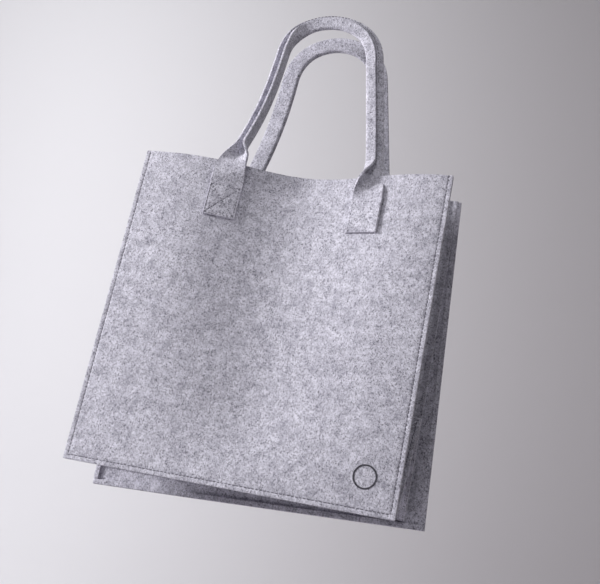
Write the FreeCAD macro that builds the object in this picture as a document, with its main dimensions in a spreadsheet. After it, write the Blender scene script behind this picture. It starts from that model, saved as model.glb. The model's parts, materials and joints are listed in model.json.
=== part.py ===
import FreeCAD, Part
import Sketcher
import math
import os
import re

# Felt carry bag: a front and a back panel joined by two side gussets that fold
# inwards and a bottom that folds upwards, with two strap handles.
# Frame: X is the width, the front panel faces -Y, Z is up, and the origin is on
# the ground under the middle of the bag.  All sizes are in millimetres.

DIMENSIONS = [
    ("bag_width", 380.0, "panel, raw edge to raw edge"),
    ("bag_height", 386.0, "panel, bottom raw edge to rim"),
    ("felt_thickness", 3.0, "one layer of felt"),
    ("seam_allowance", 6.0, "felt outside the fold of a seam"),
    ("half_gusset", 115.0, "seam to crease of one gusset half"),
    ("rest_fold", 74.0, "degrees the gusset halves are folded in from open"),
    ("corner_fold", 165.0, "degrees the lower corners are folded back"),
    ("corner_thickness", 1.4, "felt of a corner, thinned by its fold"),
    ("bottom_room", 3.6, "extra room between the corners and the bottom"),
    ("hinge_gap", 0.4, "clearance beside a seam or crease"),
    ("crease_gap", 0.3, "clearance at the end of a half at its crease"),
    ("loose_seam_gap", 4.0, "clearance at the seam that is left open"),
    ("corner_gap", 9.0, "gusset above its folded corner, measured upwards"),
    ("corner_start", 6.0, "where a corner starts, from the bottom seam"),
    ("corner_trim", 28.0, "clearance of a corner at the middle fold"),
    ("end_trim", 1.0, "how far the bottom stops inside the panel width"),
    ("strap_width", 38.0, "flat strap at the tab"),
    ("tab_length", 74.0, "tab below the rim"),
    ("tab_top", 1.0, "tab above the rim"),
    ("handle_axis_rise", 2.0, "bending line of a handle above the rim"),
    ("handle_start", 1.2, "handle above its bending line"),
    ("handle_width", 21.0, "strap folded lengthwise"),
    ("handle_thickness", 7.0, "strap folded lengthwise"),
    ("handle_rise", 200.0, "bending line to the middle of the arch"),
    ("handle_radius", 62.0, "middle line of the arch"),
    ("leg_lean", 10.0, "degrees a leg leans towards the middle"),
    ("shoulder_rise", 34.0, "bending line to the folded strap"),
    ("handle_tilt", 5.0, "degrees a handle leans over the mouth"),
    ("grip_start", 122.0, "bending line to the stitched grip"),
    ("thread_width", 1.0, "row of stitches"),
    ("thread_height", 0.6, "row of stitches above the felt"),
    ("stitch_inset", 5.0, "row of stitches from a raw edge"),
    ("box_width", 34.0, "stitched box on a tab"),
    ("box_height", 38.0, "stitched box on a tab"),
    ("mark_radius", 13.0, "plain printed ring, outside"),
    ("mark_line", 1.8, "plain printed ring, width of its line"),
    ("mark_height", 0.3, "plain printed ring above the felt"),
    ("mark_x", 152.0, "plain printed ring from the middle"),
    ("mark_z", 38.0, "plain printed ring above the ground"),
]

SIZES = {alias: value for alias, value, note in DIMENSIONS}
X_AXIS = FreeCAD.Vector(1, 0, 0)
Y_AXIS = FreeCAD.Vector(0, 1, 0)
Z_AXIS = FreeCAD.Vector(0, 0, 1)
NO_TURN = FreeCAD.Rotation()


def cell(text):
    """Expression text with every size name pointed at the sheet."""
    return re.sub(r"[a-z_]+", lambda word: "Sizes." * (word.group() in SIZES) + word.group(), text)


def make_sheet(doc):
    sheet = doc.addObject("Spreadsheet::Sheet", "Sizes")
    for row, (alias, value, note) in enumerate(DIMENSIONS, start=1):
        sheet.set(f"A{row}", note)
        sheet.set(f"B{row}", str(value))
        sheet.setAlias(f"B{row}", alias)
    doc.recompute()
    return sheet


class Fold:
    """Places of the seams and creases at rest, worked out from the sizes."""

    def __init__(self, sheet):
        theta = math.radians(sheet.rest_fold)
        felt = sheet.felt_thickness
        layer = felt + sheet.hinge_gap
        self.seam_x = sheet.bag_width / 2 - sheet.seam_allowance
        self.seam_y = sheet.half_gusset * math.cos(theta)
        self.panel_y = self.seam_y + layer
        self.outer_y = self.panel_y + felt
        self.tab_y = self.outer_y + felt
        # The bottom folds inside the gussets and the corners, two layers further in.
        room = 2 * layer + sheet.bottom_room
        open_half = sheet.half_gusset - room
        rest_ratio = (self.seam_y - room) / open_half
        extra = math.atan((math.cos(theta) - rest_ratio) / math.sin(theta))
        self.bottom_y = self.seam_y - room
        self.bottom_half = open_half / math.cos(extra)
        self.bottom_fold = sheet.rest_fold + math.degrees(extra)
        self.handle_z = sheet.bag_height + sheet.handle_axis_rise
        lean = math.radians(sheet.leg_lean)
        self.arch_z = sheet.handle_rise - sheet.handle_radius
        self.tab_x = sheet.handle_radius / math.cos(lean) + self.arch_z * math.tan(lean)


def new_body(doc, label):
    body = doc.addObject("PartDesign::Body", label)
    body.Label = label
    return body


def origin_plane(body, role):
    return next(item for item in body.Origin.OriginFeatures if item.Role == role)


def new_sketch(body, name, role, offset=None):
    sketch = body.newObject("Sketcher::SketchObject", name)
    sketch.AttachmentSupport = [(origin_plane(body, role), "")]
    sketch.MapMode = "FlatFace"
    if offset is not None:
        sketch.AttachmentOffset = offset
    return sketch


def bind(sketch, constraint, text):
    index = sketch.addConstraint(constraint)
    sketch.setExpression(f"Constraints[{index}]", cell(text))


def polygon(sketch, corners):
    """Close a polygon whose corners are pairs of expressions."""
    first = sketch.GeometryCount
    count = len(corners)
    turn = 2 * math.pi / count
    places = [FreeCAD.Vector(math.cos(i * turn), math.sin(i * turn), 0) for i in range(count)]
    for i in range(count):
        sketch.addGeometry(Part.LineSegment(places[i], places[(i + 1) % count]), False)
    for i in range(count):
        following = first + (i + 1) % count
        sketch.addConstraint(Sketcher.Constraint("Coincident", first + i, 2, following, 1))
    for i, (across, up) in enumerate(corners):
        bind(sketch, Sketcher.Constraint("DistanceX", -1, 1, first + i, 1, 1.0), across)
        bind(sketch, Sketcher.Constraint("DistanceY", -1, 1, first + i, 1, 1.0), up)


def rectangle(left, right, low, high):
    return [(left, low), (right, low), (right, high), (left, high)]


def pad(body, sketch, length, reverse=False):
    feature = body.newObject("PartDesign::Pad", "Pad")
    feature.Profile = sketch
    feature.Reversed = reverse
    feature.setExpression("Length", cell(length))
    return feature


def plate(doc, label, corners, placement, back_side=False, thickness="felt_thickness"):
    """Flat piece drawn on XZ; its thickness runs to -Y, or to +Y with back_side."""
    body = new_body(doc, label)
    sketch = new_sketch(body, "Outline", "XZ_Plane")
    polygon(sketch, corners)
    pad(body, sketch, thickness, back_side)
    body.Placement = placement
    return body


def facing(front, x, y, z):
    """Placement on the front as given, or the same turned half round for the back."""
    if front:
        return FreeCAD.Placement(FreeCAD.Vector(x, -y, z), NO_TURN)
    return FreeCAD.Placement(FreeCAD.Vector(-x, y, z), FreeCAD.Rotation(Z_AXIS, 180))


# ------------------------------------------------------------------ panels

def make_panel(doc, name, front, fold):
    corners = rectangle("-bag_width / 2", "bag_width / 2", "0", "bag_height")
    return plate(doc, f"{name}_panel", corners, facing(front, 0, fold.panel_y, 0))


def make_side_allowance(doc, name, front, side, fold):
    """Felt of the gusset that lies flat behind the edge of a panel."""
    label = f"{'right' if side > 0 else 'left'}_{name}_allowance"
    low, high = ("bag_width / 2 - seam_allowance", "bag_width / 2")
    if (side > 0) != front:
        low, high = ("-bag_width / 2", "seam_allowance - bag_width / 2")
    corners = rectangle(low, high, "seam_allowance + hinge_gap", "bag_height")
    return plate(doc, label, corners, facing(front, 0, fold.panel_y, 0), back_side=True)


def make_bottom_allowance(doc, name, front, fold):
    """Felt of the bottom behind the panel's lower edge, with the foot that turns in."""
    body = new_body(doc, f"bottom_{name}_allowance")
    sketch = new_sketch(body, "Profile", "YZ_Plane")
    foot = "3 * felt_thickness + 2 * hinge_gap + bottom_room"
    polygon(sketch, [
        ("0", "0"),
        ("felt_thickness", "0"),
        ("felt_thickness", "seam_allowance - felt_thickness"),
        (foot, "seam_allowance - felt_thickness"),
        (foot, "seam_allowance"),
        ("0", "seam_allowance"),
    ])
    pad(body, sketch, "bag_width - 2 * end_trim")
    half = SIZES["bag_width"] / 2 - SIZES["end_trim"]
    body.Placement = facing(front, -half, fold.panel_y, 0)
    return body


# ------------------------------------------------------- gussets and corners

def gusset_frame(front, side, fold):
    """Turn and solid side of a gusset half drawn from its seam to its crease."""
    inner = 1 if (side > 0) == front else -1
    base = 90.0 if front else 270.0
    turn = base + inner * SIZES["rest_fold"]
    origin = FreeCAD.Vector(side * fold.seam_x, -fold.seam_y if front else fold.seam_y,
                            SIZES["seam_allowance"])
    return origin, FreeCAD.Rotation(Z_AXIS, turn), inner


def make_gusset_half(doc, name, front, side, fold):
    label = f"{'right' if side > 0 else 'left'}_gusset_{name}_half"
    origin, turn, inner = gusset_frame(front, side, fold)
    reach = "half_gusset - crease_gap"
    rim = "bag_height - seam_allowance"
    corners = [
        ("hinge_gap", "corner_gap"),
        (reach, "half_gusset + corner_gap"),
        (reach, rim),
        ("hinge_gap", rim),
    ]
    return plate(doc, label, corners, FreeCAD.Placement(origin, turn), back_side=inner > 0)


def corner_placement(front, side, fold):
    """Corner turned back about the diagonal of its gusset half."""
    origin, turn, inner = gusset_frame(front, side, fold)
    diagonal = turn.multVec(FreeCAD.Vector(1, 0, 1))
    back = FreeCAD.Rotation(diagonal, -inner * SIZES["corner_fold"])
    return FreeCAD.Placement(origin, back.multiply(turn)), inner


def make_corner(doc, name, front, side, fold):
    label = f"{'right' if side > 0 else 'left'}_{name}_corner"
    placement, inner = corner_placement(front, side, fold)
    reach = "half_gusset - corner_trim"
    corners = [
        ("corner_start", "0 - seam_allowance"),
        (reach, "0 - seam_allowance"),
        (reach, "half_gusset - corner_trim - 2 * hinge_gap"),
        ("corner_start", "corner_start - 2 * hinge_gap"),
    ]
    return plate(doc, label, corners, placement, inner > 0, "corner_thickness")


def make_corner_thread(doc, name, front, side, fold):
    """Row of stitches along the end seam, on the outer face of a corner."""
    label = f"{'right' if side > 0 else 'left'}_{name}_corner_thread"
    placement, inner = corner_placement(front, side, fold)
    low = "0 - stitch_inset / 2"
    corners = rectangle("corner_start + stitch_inset", "half_gusset - corner_trim - stitch_inset",
                        low, low + " + thread_width")
    return plate(doc, label, corners, placement, back_side=inner < 0, thickness="thread_height")


# ------------------------------------------------------------------ bottom

def make_bottom_half(doc, name, front, fold):
    body = new_body(doc, f"bottom_{name}_half")
    sketch = new_sketch(body, "Outline", "XZ_Plane")
    start = "hinge_gap" if front else "loose_seam_gap"
    reach = SIZES["crease_gap"]
    polygon(sketch, rectangle("end_trim - bag_width / 2", "bag_width / 2 - end_trim", start,
                              f"{fold.bottom_half - reach:.4f}"))
    pad(body, sketch, "felt_thickness", not front)
    tilt = 90.0 - fold.bottom_fold
    y = -fold.bottom_y if front else fold.bottom_y
    turn = FreeCAD.Rotation(X_AXIS, -tilt if front else tilt)
    body.Placement = FreeCAD.Placement(FreeCAD.Vector(0, y, SIZES["seam_allowance"]), turn)
    return body


# ----------------------------------------------------------------- handles

def make_tab(doc, name, front, side, fold):
    label = f"{name}_{'right' if side > 0 else 'left'}_tab"
    corners = rectangle("0 - strap_width / 2", "strap_width / 2",
                        "bag_height - tab_length", "bag_height + tab_top")
    x = side * fold.tab_x if front else -side * fold.tab_x
    return plate(doc, label, corners, facing(front, x, fold.outer_y, 0))


def make_tab_thread(doc, name, front, side, fold):
    """Stitched box with a cross, on the outer face of a tab."""
    label = f"{name}_{'right' if side > 0 else 'left'}_tab_thread"
    width = SIZES["box_width"]
    height = SIZES["box_height"]
    low = SIZES["bag_height"] - SIZES["tab_length"] + (SIZES["strap_width"] - width) / 2
    slope = math.degrees(math.atan2(height, width))
    rows = [
        ("width", width, 0, height / 2, 0),
        ("width", width, 0, -height / 2, 0),
        ("height", height, width / 2, 0, 90),
        ("height", height, -width / 2, 0, 90),
        ("cross", math.hypot(width, height), 0, 0, slope),
        ("cross", math.hypot(width, height), 0, 0, -slope),
    ]
    lengths = {
        "width": "box_width + thread_width",
        "height": "box_height + thread_width",
        "cross": "sqrt(box_width * box_width + box_height * box_height)",
    }
    bars = []
    for kind, length, x, z, angle in rows:
        bar = doc.addObject("Part::Box", "Stitches")
        bar.setExpression("Length", cell(lengths[kind]))
        bar.setExpression("Width", cell("thread_height"))
        bar.setExpression("Height", cell("thread_width"))
        extra = SIZES["thread_width"] if kind != "cross" else 0.0
        turn = FreeCAD.Rotation(Y_AXIS, angle)
        centre = FreeCAD.Vector((length + extra) / 2, SIZES["thread_height"],
                                SIZES["thread_width"] / 2)
        place = FreeCAD.Vector(x, 0, z + low + height / 2)
        bar.Placement = FreeCAD.Placement(place - turn.multVec(centre), turn)
        bars.append(bar)
    fused = doc.addObject("Part::MultiFuse", label)
    fused.Label = label
    fused.Shapes = bars
    fused.Refine = True
    x = side * fold.tab_x if front else -side * fold.tab_x
    fused.Placement = facing(front, x, fold.tab_y, 0)
    return fused


def arch_band(sketch, fold, width, start):
    """Close a band of constant width along both legs and the arch of a handle."""
    lean = math.radians(SIZES["leg_lean"])
    middle = FreeCAD.Vector(0, fold.arch_z, 0)
    out = FreeCAD.Vector(math.cos(lean), math.sin(lean), 0)
    add = sketch.addConstraint
    corners = []
    for sign in (1, -1):
        half = sign * SIZES[width] / 2
        radius = SIZES["handle_radius"] + half
        top = middle + out * radius
        low = FreeCAD.Vector(*start, 0) + out * half
        corners.append(low)
        circle = Part.Circle(middle, Z_AXIS, radius)
        arch = sketch.addGeometry(Part.ArcOfCircle(circle, lean, math.pi - lean), False)
        for way in (1, -1):
            ends = [FreeCAD.Vector(point.x * way, point.y, 0) for point in (top, low)]
            sketch.addGeometry(Part.LineSegment(*ends), False)
        add(Sketcher.Constraint("Tangent", arch, 1, arch + 1, 1))
        add(Sketcher.Constraint("Tangent", arch, 2, arch + 2, 1))
        add(Sketcher.Constraint("PointOnObject", arch, 3, -2))
        bind(sketch, Sketcher.Constraint("DistanceY", -1, 1, arch, 3, fold.arch_z),
             "handle_rise - handle_radius")
        bind(sketch, Sketcher.Constraint("Radius", arch, radius),
             f"handle_radius + {sign} * {width} / 2")
        bind(sketch, Sketcher.Constraint("DistanceX", -1, 1, arch + 1, 2, low.x),
             f"{start[0]:.4f} + {sign * out.x:.6f} * {width} / 2")
        bind(sketch, Sketcher.Constraint("DistanceY", -1, 1, arch + 1, 2, low.y),
             f"{start[1]:.4f} + {sign * out.y:.6f} * {width} / 2")
        add(Sketcher.Constraint("Symmetric", arch + 1, 2, arch + 2, 2, -2))
    outer_arch, inner_arch = 0, 3
    for leg, way in ((1, 1), (2, -1)):
        ends = [FreeCAD.Vector(point.x * way, point.y, 0) for point in corners]
        end = sketch.addGeometry(Part.LineSegment(*ends), False)
        add(Sketcher.Constraint("Coincident", outer_arch + leg, 2, end, 1))
        add(Sketcher.Constraint("Coincident", inner_arch + leg, 2, end, 2))


def leg_start(fold, rise):
    """Middle of a right leg at a height above the bending line."""
    lean = math.radians(SIZES["leg_lean"])
    return fold.tab_x - rise * math.tan(lean), rise


def handle_placement(front, fold):
    """Upright loop leaning over the mouth about its bending line."""
    tilt = FreeCAD.Rotation(X_AXIS, -SIZES["handle_tilt"])
    base = facing(front, 0, fold.tab_y, fold.handle_z)
    return FreeCAD.Placement(base.Base, base.Rotation.multiply(tilt))


def make_handle(doc, name, front, fold):
    body = new_body(doc, f"{name}_handle")
    spread = (SIZES["handle_thickness"] - SIZES["felt_thickness"]) / 2
    start = leg_start(fold, SIZES["shoulder_rise"])
    lift = FreeCAD.Placement(FreeCAD.Vector(0, 0, -SIZES["felt_thickness"] - spread), NO_TURN)
    band = new_sketch(body, "Band", "XZ_Plane", lift)
    arch_band(band, fold, "handle_width", start)
    pad(body, band, "handle_thickness")
    for side in (-1, 1):
        low = FreeCAD.Placement(FreeCAD.Vector(side * fold.tab_x, 0, SIZES["handle_start"]), NO_TURN)
        high = FreeCAD.Placement(FreeCAD.Vector(side * start[0], 0, start[1]),
                                 FreeCAD.Rotation(Y_AXIS, -side * SIZES["leg_lean"]))
        flat = new_sketch(body, "Flat", "XY_Plane", low)
        polygon(flat, rectangle("0 - strap_width / 2", "strap_width / 2", "0", "felt_thickness"))
        folded = new_sketch(body, "Folded", "XY_Plane", high)
        out = "(handle_thickness - felt_thickness) / 2"
        polygon(folded, rectangle("0 - handle_width / 2", "handle_width / 2",
                                  f"0 - {out}", f"felt_thickness + {out}"))
        shoulder = body.newObject("PartDesign::AdditiveLoft", "Shoulder")
        shoulder.Profile = flat
        shoulder.Sections = [folded]
        shoulder.Ruled = True
    body.Placement = handle_placement(front, fold)
    return body


def make_handle_thread(doc, name, front, fold):
    """Row of stitches along the middle of the grip, where the strap is sewn shut."""
    body = new_body(doc, f"{name}_handle_thread")
    spread = (SIZES["handle_thickness"] - SIZES["felt_thickness"]) / 2
    start = leg_start(fold, SIZES["grip_start"])
    lift = FreeCAD.Placement(FreeCAD.Vector(0, 0, spread), NO_TURN)
    band = new_sketch(body, "Band", "XZ_Plane", lift)
    arch_band(band, fold, "thread_width", start)
    pad(body, band, "thread_height")
    body.Placement = handle_placement(front, fold)
    return body


# ------------------------------------------------------- seam rows and mark

def make_panel_thread(doc, name, front, fold):
    """Row of stitches down one side, along the bottom and up the other side."""
    out = "bag_width / 2 - stitch_inset"
    inside = out + " - thread_width"
    low = "stitch_inset"
    corners = [
        ("stitch_inset - bag_width / 2", low),
        (out, low),
        (out, "bag_height"),
        (inside, "bag_height"),
        (inside, "stitch_inset + thread_width"),
        ("stitch_inset + thread_width - bag_width / 2", "stitch_inset + thread_width"),
        ("stitch_inset + thread_width - bag_width / 2", "bag_height"),
        ("stitch_inset - bag_width / 2", "bag_height"),
    ]
    return plate(doc, f"{name}_seam_thread", corners, facing(front, 0, fold.outer_y, 0),
                 thickness="thread_height")


def make_mark(doc, fold):
    """Plain ring printed on the lower corner of the front."""
    body = new_body(doc, "printed_mark")
    sketch = new_sketch(body, "Ring", "XZ_Plane")
    for radius in ("mark_radius", "mark_radius - mark_line"):
        circle = sketch.addGeometry(Part.Circle(FreeCAD.Vector(0, 0, 0), Z_AXIS, 5.0), False)
        sketch.addConstraint(Sketcher.Constraint("Coincident", circle, 3, -1, 1))
        bind(sketch, Sketcher.Constraint("Radius", circle, 5.0), radius)
    pad(body, sketch, "mark_height")
    body.Placement = facing(True, SIZES["mark_x"], fold.outer_y, SIZES["mark_z"])
    return body


# ------------------------------------------------------------------- build

def make_bag(doc, fold):
    pieces = [make_mark(doc, fold)]
    for name, front in (("front", True), ("back", False)):
        pieces.append(make_panel(doc, name, front, fold))
        pieces.append(make_panel_thread(doc, name, front, fold))
        pieces.append(make_bottom_allowance(doc, name, front, fold))
        pieces.append(make_bottom_half(doc, name, front, fold))
        pieces.append(make_handle(doc, name, front, fold))
        pieces.append(make_handle_thread(doc, name, front, fold))
        for side in (-1, 1):
            pieces.append(make_side_allowance(doc, name, front, side, fold))
            pieces.append(make_gusset_half(doc, name, front, side, fold))
            pieces.append(make_corner(doc, name, front, side, fold))
            pieces.append(make_corner_thread(doc, name, front, side, fold))
            pieces.append(make_tab(doc, name, front, side, fold))
            pieces.append(make_tab_thread(doc, name, front, side, fold))
    return pieces


def check(doc, pieces):
    doc.recompute()
    for item in doc.Objects:
        if {"Invalid", "Error"} & set(item.State):
            raise RuntimeError(f"{item.Name} failed: {item.State} {item.getStatusString()}")
    for piece in pieces:
        shape = piece.Shape
        if shape.isNull() or not shape.isValid() or not shape.Solids:
            raise RuntimeError(f"{piece.Label} has no valid solid")


def write(pieces):
    os.makedirs("parts", exist_ok=True)
    for piece in pieces:
        piece.Shape.exportStep(f"parts/{piece.Label}.step")
        print(f"{piece.Label}: {piece.Shape.Volume / 1000:.2f} cm3")


def main():
    doc = FreeCAD.newDocument("FeltBag")
    sheet = make_sheet(doc)
    fold = Fold(sheet)
    pieces = make_bag(doc, fold)
    check(doc, pieces)
    write(pieces)
    print(f"seams x {fold.seam_x:.3f} y {fold.seam_y:.3f} bottom y {fold.bottom_y:.3f}")
    print(f"bottom half {fold.bottom_half:.3f} fold {fold.bottom_fold:.3f}")
    print(f"handle line y {fold.tab_y:.3f} z {fold.handle_z:.3f} tab x {fold.tab_x:.3f}")


main()
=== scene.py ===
"""Felt knitting bag: cut felt, folded gussets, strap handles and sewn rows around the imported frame."""

import json
import logging
import math
from dataclasses import dataclass
from enum import Enum
from typing import Callable

import bpy
from mathutils import Matrix, Vector, noise


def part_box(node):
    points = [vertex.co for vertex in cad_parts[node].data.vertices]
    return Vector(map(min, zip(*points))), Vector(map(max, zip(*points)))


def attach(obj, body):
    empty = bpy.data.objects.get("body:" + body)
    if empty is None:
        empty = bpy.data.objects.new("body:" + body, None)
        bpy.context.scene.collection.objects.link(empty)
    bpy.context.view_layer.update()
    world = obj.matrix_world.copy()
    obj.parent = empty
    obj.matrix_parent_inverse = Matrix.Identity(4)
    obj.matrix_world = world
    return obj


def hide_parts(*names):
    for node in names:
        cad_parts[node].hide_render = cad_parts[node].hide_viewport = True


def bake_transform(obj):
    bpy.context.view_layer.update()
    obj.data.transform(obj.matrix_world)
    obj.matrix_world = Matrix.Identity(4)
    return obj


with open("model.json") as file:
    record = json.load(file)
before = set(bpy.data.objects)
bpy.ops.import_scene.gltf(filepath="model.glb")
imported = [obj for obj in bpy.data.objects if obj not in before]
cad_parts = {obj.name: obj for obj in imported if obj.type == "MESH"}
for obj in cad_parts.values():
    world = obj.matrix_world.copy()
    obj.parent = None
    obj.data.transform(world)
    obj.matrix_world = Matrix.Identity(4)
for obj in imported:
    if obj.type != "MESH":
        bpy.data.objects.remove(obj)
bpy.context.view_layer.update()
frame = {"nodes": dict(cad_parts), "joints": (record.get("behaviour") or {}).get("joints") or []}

log = logging.getLogger("felt_bag")
MM = 0.001
PlacePoint = Callable[[float, float], Vector]


class Face(Enum):
    """The two faces of the bag; the value is the sign of Y on that face."""

    FRONT = -1
    BACK = 1

    @property
    def word(self) -> str:
        """Name of the face as the frame writes it."""
        return self.name.lower()


class Side(Enum):
    """The two sides of the bag; the value is the sign of X on that side."""

    LEFT = -1
    RIGHT = 1

    @property
    def word(self) -> str:
        """Name of the side as the frame writes it."""
        return self.name.lower()


# ---------------------------------------------------------------- measures


def joint_place(name: str) -> Vector:
    """Returns the point that a joint of the frame turns about, in metres."""
    found = next(joint for joint in frame["joints"] if joint["name"] == name)
    return Vector(found["pos_m"])


@dataclass(frozen=True)
class Measures:
    """Places of the cloth, read from the frame; lengths are in metres."""

    half_width: float
    height: float
    felt: float
    inner_y: float
    seam: Vector
    crease_x: float
    ridge_z: float
    handle: Vector
    tab_x: float
    tab_low: float
    lean: float = math.radians(10.0)
    arch_radius: float = 62.0 * MM
    strap: float = 38.0 * MM
    hang_x: float = 13.0 * MM
    hang_z: float = -8.5 * MM
    hang_turn: float = math.radians(2.7)
    hang_left: float = 0.35

    @classmethod
    def from_frame(cls) -> "Measures":
        """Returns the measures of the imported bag."""
        low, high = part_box("front_panel")
        tab_low, tab_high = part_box("front_right_tab")
        return cls(
            half_width=high.x,
            height=high.z,
            felt=high.y - low.y,
            inner_y=-high.y,
            seam=joint_place("side_fold"),
            crease_x=joint_place("right_crease").x,
            ridge_z=joint_place("bottom_crease").z,
            handle=joint_place("front_handle_swing"),
            tab_x=(tab_low.x + tab_high.x) / 2,
            tab_low=tab_low.z,
        )

    @property
    def half_gusset(self) -> float:
        """Returns the length of a gusset half from its seam to its crease."""
        return math.hypot(self.seam.x - self.crease_x, self.seam.y)

    @property
    def allowance(self) -> float:
        """Returns the width of the felt outside a seam."""
        return self.half_width - self.seam.x

    def drift(self, x: float, z: float) -> Vector:
        """How far the back panel hangs aside of its straight place, because it hangs from its own handle.

        Its left edge takes only the share hang_left of the sideways shift.

        Args:
            x: place across the back panel.
            z: height on the back panel.

        Returns:
            The shift.
        """
        turn = math.sin(self.hang_turn)
        loose = mix(self.hang_left, 1.0, smooth(x, -self.half_width, -self.half_width / 3))
        return Vector(((self.hang_x + (self.height / 2 - z) * turn) * loose, 0.0, self.hang_z + x * turn))


def smooth(value: float, low: float = 0.0, high: float = 1.0) -> float:
    """Returns 0 below low, 1 above high and a smooth step between them."""
    share = min(max((value - low) / (high - low), 0.0), 1.0)
    return share * share * (3.0 - 2.0 * share)


def mix(first: float, second: float, share: float) -> float:
    """Returns the value a share of the way from first to second."""
    return first + (second - first) * share


def marks(start: float, end: float, step: float, fine: tuple[float, ...] = ()) -> list[float]:
    """Divides a length evenly, with extra marks near both of its ends.

    Args:
        start: first mark.
        end: last mark.
        step: largest distance between the even marks.
        fine: distances from each end at which an extra mark stands.

    Returns:
        The marks in rising order.
    """
    margin = max(fine, default=0.0)
    count = max(1, math.ceil((end - start - 2 * margin) / step))
    even = [start + margin + (end - start - 2 * margin) * i / count for i in range(count + 1)]
    ends = [start + d for d in (0.0, *fine)] + [end - d for d in (0.0, *fine)]
    return sorted({round(value, 7) for value in even + ends})


# ---------------------------------------------------------------- finishes


def linear(code: str) -> tuple[float, float, float, float]:
    """Returns the linear colour of an sRGB hex code."""
    parts = [int(code[i : i + 2], 16) / 255.0 for i in (1, 3, 5)]
    bent = [p / 12.92 if p <= 0.04045 else ((p + 0.055) / 1.055) ** 2.4 for p in parts]
    return (*bent, 1.0)


def add_node(tree: bpy.types.NodeTree, kind: str, settings: dict, values: dict) -> bpy.types.Node:
    """Adds one shader node.

    Args:
        tree: the material's node tree.
        kind: the node's type name.
        settings: properties of the node.
        values: socket name or number, to a plain value or to an output socket that feeds it.

    Returns:
        The new node.
    """
    node = tree.nodes.new(kind)
    for name, value in settings.items():
        setattr(node, name, value)
    for name, value in values.items():
        if isinstance(value, bpy.types.NodeSocket):
            tree.links.new(value, node.inputs[name])
        else:
            node.inputs[name].default_value = value
    return node


def blank_material(name: str) -> tuple[bpy.types.Material, bpy.types.NodeTree, bpy.types.NodeSocket]:
    """Returns an empty material, its node tree and the socket that gives places on the piece in metres."""
    made = bpy.data.materials.new(name)
    made.use_nodes = True
    tree = made.node_tree
    tree.nodes.clear()
    return made, tree, add_node(tree, "ShaderNodeTexCoord", {}, {}).outputs["Object"]


def surfaced(made: bpy.types.Material, shader: bpy.types.Node) -> bpy.types.Material:
    """Returns the material with a shader as its surface."""
    add_node(made.node_tree, "ShaderNodeOutputMaterial", {}, {"Surface": shader.outputs[0]})
    return made


def add_noise(place: bpy.types.NodeSocket, size_mm: float, detail: float,
              rough: float) -> bpy.types.NodeSocket:
    """Adds plain noise.

    Args:
        place: coordinates in metres.
        size_mm: size of the noise's largest patches in millimetres.
        detail: number of finer layers.
        rough: strength of the finer layers.

    Returns:
        The noise value's socket.
    """
    node = add_node(place.id_data, "ShaderNodeTexNoise", {}, {
        "Vector": place, "Scale": 1.0 / (size_mm * MM), "Detail": detail, "Roughness": rough,
    })
    return node.outputs[0]


def add_ramp(value: bpy.types.NodeSocket, span: tuple[float, float], most: float = 1.0,
             kind: str = "LINEAR") -> bpy.types.NodeSocket:
    """Adds a clamped ramp.

    Args:
        value: the socket that is mapped.
        span: the values at which the ramp starts and ends.
        most: what the ramp gives at its end; it gives 0 at its start.
        kind: the name of the ramp's curve.

    Returns:
        The ramp's socket.
    """
    node = add_node(value.id_data, "ShaderNodeMapRange", {"clamp": True, "interpolation_type": kind}, {
        "Value": value, "From Min": span[0], "From Max": span[1], "To Min": 0.0, "To Max": most,
    })
    return node.outputs[0]


def blended(share: bpy.types.NodeSocket, under: object, over: object) -> bpy.types.NodeSocket:
    """Returns the colour that is over where share is 1 and under where it is 0."""
    node = add_node(share.id_data, "ShaderNodeMix", {"data_type": "RGBA"}, {0: share, 6: under, 7: over})
    return node.outputs[2]


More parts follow.
